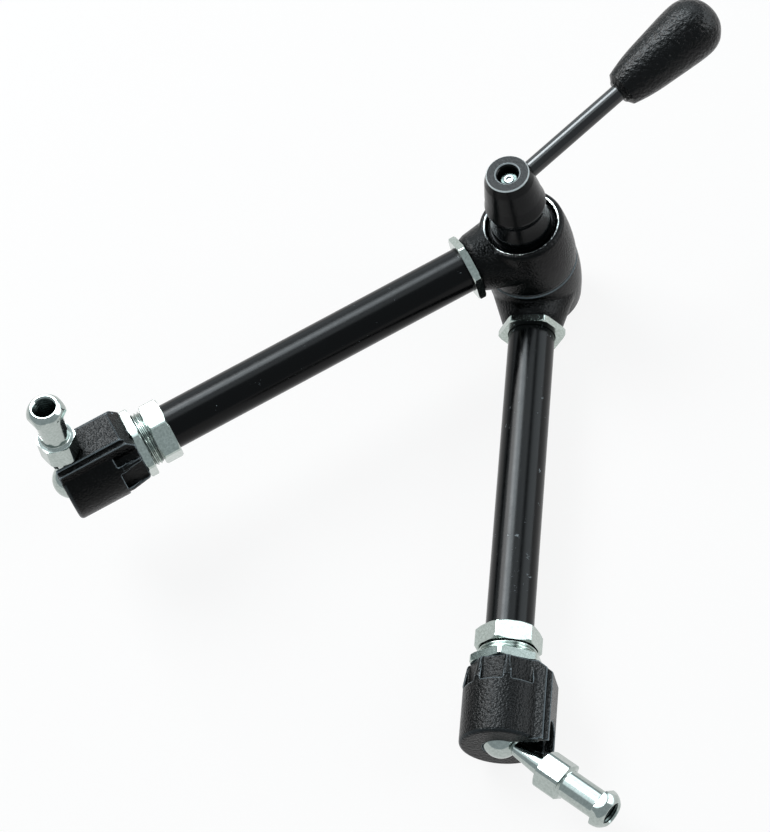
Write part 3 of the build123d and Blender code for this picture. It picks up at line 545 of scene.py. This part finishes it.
def oxide(name, code, roughness, level, pitch, relief):
    """Blacked steel: dark coat over the fine grain that turning leaves."""
    material, shader = finish_of(name, IOR=1.5, Specular_IOR_Level=level, Roughness=roughness)
    where = add(material, "ShaderNodeTexCoord").outputs["Object"]
    grain = add(material, "ShaderNodeTexNoise", {"Vector": where, "Scale": 1 / (pitch * MM), "Detail": 3.0,
                                                 "Roughness": 0.65}).outputs["Fac"]
    bump = add(material, "ShaderNodeBump", {"Strength": 0.7, "Distance": relief * MM, "Height": grain})
    colour = ramp(material, grain, (0.35, code), (0.75, "#0b0e10"))
    plug(material, shader, Base_Color=colour, Normal=bump.outputs["Normal"])
    return material


# Blacked steel: near black with a soft dark mirror. Its copy has pale rings painted as highlights on the
# face's bevel and round the mouth.
blacked = oxide("hot_blacked_steel", "#020303", roughness=0.22, level=0.12, pitch=1.1, relief=0.14)
blacked_highlit = blacked.copy()
blacked_highlit.name = "hot_blacked_steel_painted_highlights"
shader = blacked_highlit.node_tree.nodes["Principled BSDF"]
# Painted highlights: pale rings on the face's bevel and round the mouth.
ring_tint(blacked_highlit, shader, radius=FACE - 0.15, width=0.32, floor=HUB_TOP - 0.6, code="#ccd4d5")
ring_tint(blacked_highlit, shader, radius=MOUTH - 0.15, width=0.3, floor=HUB_TOP - 0.4, code="#a7b1b4")
# The skirt narrows in a hollow curve to the waist.
sag = [(SAG_FOOT + (SAG_TOP - SAG_FOOT) * t / SAG_STEPS,
        WAIST_OF_HUB + (SKIRT - WAIST_OF_HUB) * (1 - t / SAG_STEPS) ** SAG_POWER)
       for t in range(SAG_STEPS + 1)]
hub = turned("waisted_hub", SPINDLE, [
    (HUB_BASE, SHAFT), (HUB_BASE, SKIRT, 0.2), *sag, (WAIST_TOP, WAIST_OF_HUB, 0.3),
    (FLARE_FOOT, FLARE, 0.25), (FLARE_TOP, FLARE, 0.25), (DRUM_FOOT, DRUM - DRUM_STEP, 0.1),
    (DRUM_FOOT, DRUM, 0.1), (DRUM_TOP, BEVEL, 0.3),
    (HUB_TOP - FACE_BEVEL, FACE, 0.15), (HUB_TOP, FACE - FACE_BEVEL, 0.1), (HUB_TOP, MOUTH, 0.1),
    (HUB_TOP - MOUTH_DEPTH, COUNTERBORE, 0.1), (COUNTERBORE_FLOOR, COUNTERBORE), (COUNTERBORE_FLOOR, SHAFT)],
    blacked_highlit, "lever", closed=True, columns=144)
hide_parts("lever_hub")

# The rod is polished before blacking, so it shows one clear streak.
polished = oxide("polished_blacked_steel", "#020303", roughness=0.18, level=0.6, pitch=1.6, relief=0.03)
HEADING, RISE = radians(42), radians(8)         # the lever's heading over the table, and its rise
LEVER_WAY = Vector((cos(HEADING) * cos(RISE), sin(HEADING) * cos(RISE), sin(RISE)))
LEVER_HEIGHT = 57.6                             # where the rod's line meets the elbow axis
LEVER = (ELBOW + UP * LEVER_HEIGHT, LEVER_WAY,
         Vector((-cos(HEADING) * sin(RISE), -sin(HEADING) * sin(RISE), cos(RISE))))
ROD_ROOT, ROD_SHOULDER, ROD_END, ROD_RADIUS, ROD_TENON = 6.2, 8.0, 85.0, 3.9, 3.0
KNOB_START = 63.0
rod = turned("blacked_rod", LEVER, [
    (ROD_ROOT, 0), (ROD_ROOT, ROD_TENON), (ROD_SHOULDER, ROD_TENON), (ROD_SHOULDER, ROD_RADIUS),
    (KNOB_START, ROD_RADIUS), (KNOB_START, ROD_TENON), (ROD_END, ROD_TENON), (ROD_END, 0)],
    polished, "lever", columns=64)
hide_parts("lever_rod")


# Lever knob
# Pear-shaped grip moulded in black thermoset and screwed onto the rod. The mould was spark eroded,
# so the skin has a fine even grain that spreads the highlight.

GRAIN, GRAIN_DEPTH = 1.7, 0.6                   # width and depth of one dimple of the moulded grain
SOCKET, SOCKET_RADIUS = 23.0, 3.03              # blind hole for the rod
LIP_RADIUS, LIP_BEVEL, LIP_EDGE, SWELL_START = 5.4, 0.8, 6.2, 2.2

# Moulded thermoset: black, its highlight broken into fine points by the grain.
moulded, shader = finish_of("thermoset_spark_grained", IOR=1.55, Specular_IOR_Level=0.15, Roughness=0.24)
where = add(moulded, "ShaderNodeTexCoord").outputs["Object"]
dimple = add(moulded, "ShaderNodeTexNoise", {"Vector": where, "Scale": 1 / (GRAIN * MM),
                                             "Detail": 2.0}).outputs["Fac"]
bump = add(moulded, "ShaderNodeBump", {"Strength": 1.0, "Distance": GRAIN_DEPTH * MM, "Height": dimple})
plug(moulded, shader, Base_Color=ramp(moulded, dimple, (0.3, "#020303"), (0.7, "#0a0c0d")),
     Normal=bump.outputs["Normal"])
# The pear's outline: distance past the lip and radius, joined by a smooth curve.
swell = ((0, 8.4), (1.2, 8.75), (4.0, 9.5), (8.0, 10.4), (13.0, 11.25), (18.55, 11.9), (24.0, 12.5),
         (29.5, 13.1), (34.5, 13.6), (39.3, 13.85), (43.0, 13.5), (46.5, 12.2), (49.2, 9.95), (51.3, 7.3),
         (52.5, 4.4), (53.1, 1.6), (53.2, 0))
knots = [Vector((KNOB_START + SWELL_START + along, radius)) for along, radius in swell]
knob_curve = [knots[0]]
for k in range(len(knots) - 1):
    a, b = knots[max(k - 1, 0)], knots[k]
    c, d = knots[k + 1], knots[min(k + 2, len(knots) - 1)]
    for t in (0.25, 0.5, 0.75, 1.0):
        knob_curve.append(0.5 * (2 * b + (c - a) * t + (2 * a - 5 * b + 4 * c - d) * t ** 2
                                 + (3 * b - a - 3 * c + d) * t ** 3))
knob = turned("pear_knob", LEVER, [
    (KNOB_START + SOCKET, 0), (KNOB_START + SOCKET, SOCKET_RADIUS), (KNOB_START, SOCKET_RADIUS),
    (KNOB_START, LIP_RADIUS, 0.1), (KNOB_START + LIP_BEVEL, LIP_EDGE, 0.3),
    *[(p.x, max(p.y, 0)) for p in knob_curve]],
    moulded, "lever", columns=128)
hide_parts("lever_knob")


# Inner pieces
# Ball seats are turned brass, the friction disc is a pressed fibre lining, and the cap that shuts
# the elbow's underside is blacked steel with a driver slot.

FIBRE = 0.6                                     # width of a fibre bundle

# Brass: warm and half bright in the slots. Lining: matt brown, flecked by its fibres.
brass = metal("turned_brass", "#c6a55e", "#a98a48", roughness=0.2, grain=0.3)
dress(brass, "ball_seat_a", "ball_seat_b")
lining, shader = finish_of("pressed_fibre_lining", Roughness=0.8, IOR=1.5)
where = add(lining, "ShaderNodeTexCoord").outputs["Object"]
fibre = add(lining, "ShaderNodeTexNoise", {"Vector": where, "Scale": 1 / (FIBRE * MM),
                                           "Detail": 4.0}).outputs["Fac"]
plug(lining, shader, Base_Color=ramp(lining, fibre, (0.3, "#1c1815"), (0.7, "#39322b")))
dress(lining, "friction_disc")
dress(blacked, "base_cap", "thrust_washer")


# Photograph's view
# A camera fitted to the photograph's edges, looking down on the arm as it lies on a white table.

SENSOR, LENS = 36.0, 129.4                      # millimetres, over the picture's height
STAND = (0.1818, -0.4805, 1.1404)               # metres
NEAR, FAR = 0.05, 20.0
camera = bpy.data.objects.new("photo_camera", bpy.data.cameras.new("photo_camera"))
camera.data.sensor_fit = "VERTICAL"
camera.data.sensor_height = SENSOR
camera.data.lens = LENS
camera.data.clip_start, camera.data.clip_end = NEAR, FAR
# The picture's right and the way back to the camera, squared to each other.
right = Vector((0.9777, 0.0885, -0.1906)).normalized()
back = Vector((0.2093, -0.4919, 0.8451)).normalized()
up = back.cross(right).normalized()
right = up.cross(back)
turned_to = Matrix((right, up, back)).transposed().to_4x4()
camera.matrix_world = Matrix.Translation(STAND) @ turned_to
bpy.context.scene.collection.objects.link(camera)
bpy.context.scene.camera = camera
bpy.context.scene.view_settings.view_transform = "Standard"


# Table
# A white matt board that fills the view. Camera and mirror rays see it nearly white, and it keeps
# a faint shadow of the arm.

TABLE_GLOW = 0.88                               # share of pure white in what those rays see
TABLE_SIZE, TABLE_GAP = 6.0, 0.2 * MM
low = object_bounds()[0][2]
board = bpy.data.meshes.new("table_board")
shape = bmesh.new()
bmesh.ops.create_grid(shape, x_segments=1, y_segments=1, size=TABLE_SIZE)
shape.to_mesh(board)
shape.free()
table = bpy.data.objects.new("table_board", board)
table.location = (0, 0, low - TABLE_GAP)
bpy.context.scene.collection.objects.link(table)
white, shader = finish_of("white_board_matt", Roughness=0.9)
shader.inputs["Base Color"].default_value = linear("#f4f6f6")
rays = add(white, "ShaderNodeLightPath").outputs
seen = calc(white, "MAXIMUM", rays["Is Camera Ray"], rays["Is Glossy Ray"])
seen = calc(white, "MAXIMUM", seen, rays["Is Transmission Ray"])
share = calc(white, "MULTIPLY", seen, TABLE_GLOW)
glow = add(white, "ShaderNodeEmission", {"Color": linear("#ffffff"), "Strength": 1.0})
mixed = add(white, "ShaderNodeMixShader", {"Fac": share, 1: shader.outputs[0], 2: glow.outputs[0]})
white.node_tree.links.new(mixed.outputs[0], white.node_tree.nodes["Material Output"].inputs["Surface"])
board.materials.append(white)


# Light
# A light tent, as small goods are shot in: one large overhead panel towards the back, which only
# mirror-like surfaces see as a bright field, a dim front side, and two soft boxes for the shadow.

PANEL_WAY = Vector((-0.333, 0.535, 0.777)).normalized()
PANEL_EDGE = (0.62, 0.74)                       # cosine from the panel's middle, dark to bright
CORE_WAY = Vector((-0.30, 0.45, 0.84)).normalized()
CORE_EDGE = (0.955, 0.99)
SIDE_WAY = Vector((0.87, 0.49, 0.12)).normalized()
SIDE_EDGE = (0.8, 0.95)
PANEL, CORE, SIDE, FRONT, ROOM = 2.3, 15.0, 4.0, 0.6, 0.4    # radiance of each part of the tent
LEAN = 0.9                                      # how much the panel brightens towards +X
AIM = Vector((-0.08, 0.15, 0.0))                # middle of the arm
world = bpy.data.worlds.new("light_tent")
world.use_nodes = True
bpy.context.scene.world = world
nodes, links = world.node_tree.nodes, world.node_tree.links
sky = nodes["Background"]
place = add(world, "ShaderNodeTexCoord").outputs["Generated"]


def field(way, edge, low, high):
    """Soft-edged bright field in the tent, seen about a direction."""
    toward = add(world, "ShaderNodeVectorMath", {0: place, 1: way}, operation="DOT_PRODUCT").outputs["Value"]
    return add(world, "ShaderNodeMapRange", {
        "Value": toward, "From Min": edge[0], "From Max": edge[1], "To Min": low, "To Max": high},
        interpolation_type="SMOOTHSTEP").outputs[0]


lean = calc(world, "MULTIPLY_ADD", add(world, "ShaderNodeSeparateXYZ", {0: place}).outputs[0], LEAN, 1.0)
panel = calc(world, "MULTIPLY", field(PANEL_WAY, PANEL_EDGE, 0.0, PANEL), lean)
panel = calc(world, "ADD", panel, field(SIDE_WAY, SIDE_EDGE, FRONT, SIDE))
panel = calc(world, "ADD", panel, field(CORE_WAY, CORE_EDGE, 0.0, CORE))
rays = add(world, "ShaderNodeLightPath").outputs
mirrored = add(world, "ShaderNodeMix", {"Factor": rays["Is Glossy Ray"], "A": ROOM, "B": panel}).outputs[0]
through = calc(world, "MAXIMUM", rays["Is Camera Ray"], rays["Is Transmission Ray"])
strength = add(world, "ShaderNodeMix", {"Factor": through, "A": mirrored, "B": 1.0}).outputs[0]
sky.inputs["Color"].default_value = linear("#e4eef3")
links.new(strength, sky.inputs["Strength"])


def soft_box(name, place, size, watts):
    """Area light that faces the middle of the arm."""
    light = bpy.data.lights.new(name, "AREA")
    light.shape, light.size, light.size_y = "RECTANGLE", size[0], size[1]
    light.energy = watts
    box = bpy.data.objects.new(name, light)
    box.location = place
    box.rotation_euler = (AIM - Vector(place)).to_track_quat("-Z", "Y").to_euler()
    bpy.context.scene.collection.objects.link(box)


soft_box("key_box", place=(-1.1, 0.9, 1.3), size=(0.9, 0.9), watts=22.0)
soft_box("fill_box", place=(1.5, 0.3, 0.8), size=(0.6, 0.9), watts=8.0)
